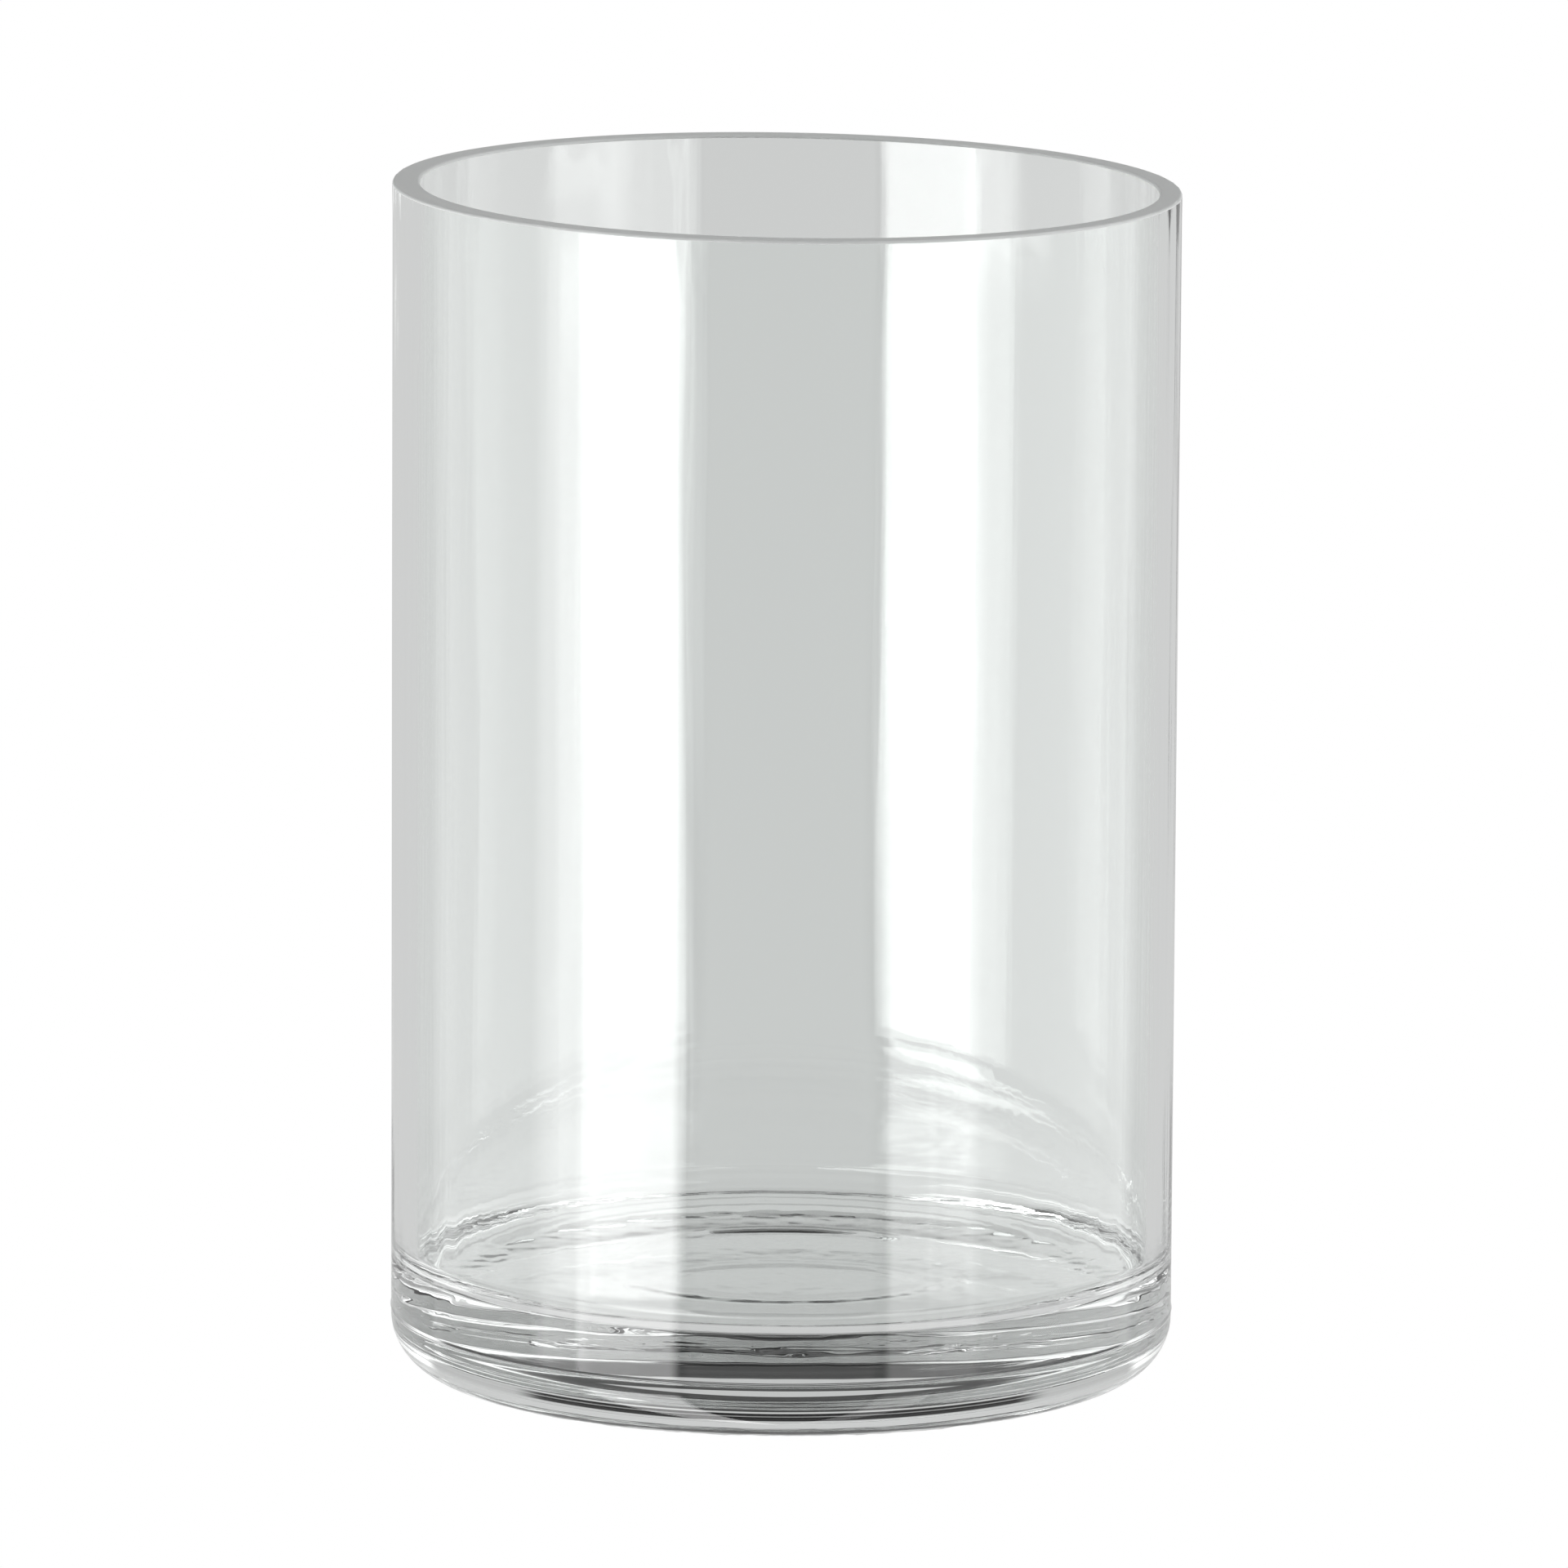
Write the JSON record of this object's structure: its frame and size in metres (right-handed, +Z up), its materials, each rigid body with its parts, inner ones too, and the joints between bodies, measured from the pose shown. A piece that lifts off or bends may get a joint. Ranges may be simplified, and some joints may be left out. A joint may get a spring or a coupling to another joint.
{
  "type": "cylinder vase",
  "caption": "Straight clear-glass cylinder vase with a thick solid base, rounded heel and flat ground rim, which holds water and cut flowers.",
  "frame": {"origin": "centre of the circle that the vase stands on", "axes": "+Z up along the cylinder's axis, to the open mouth; +X to the viewer's right and +Y away from the viewer, though the body is round"},
  "size_m": [0.13, 0.13, 0.199],
  "materials": {
    "clear_glass": "clear, fire-polished walls with faint vertical and mould ripples; the rim is ground flat and satin"
  },
  "bodies": {
    "root": {"vase_body": "clear_glass"}
  },
  "joints": []
}
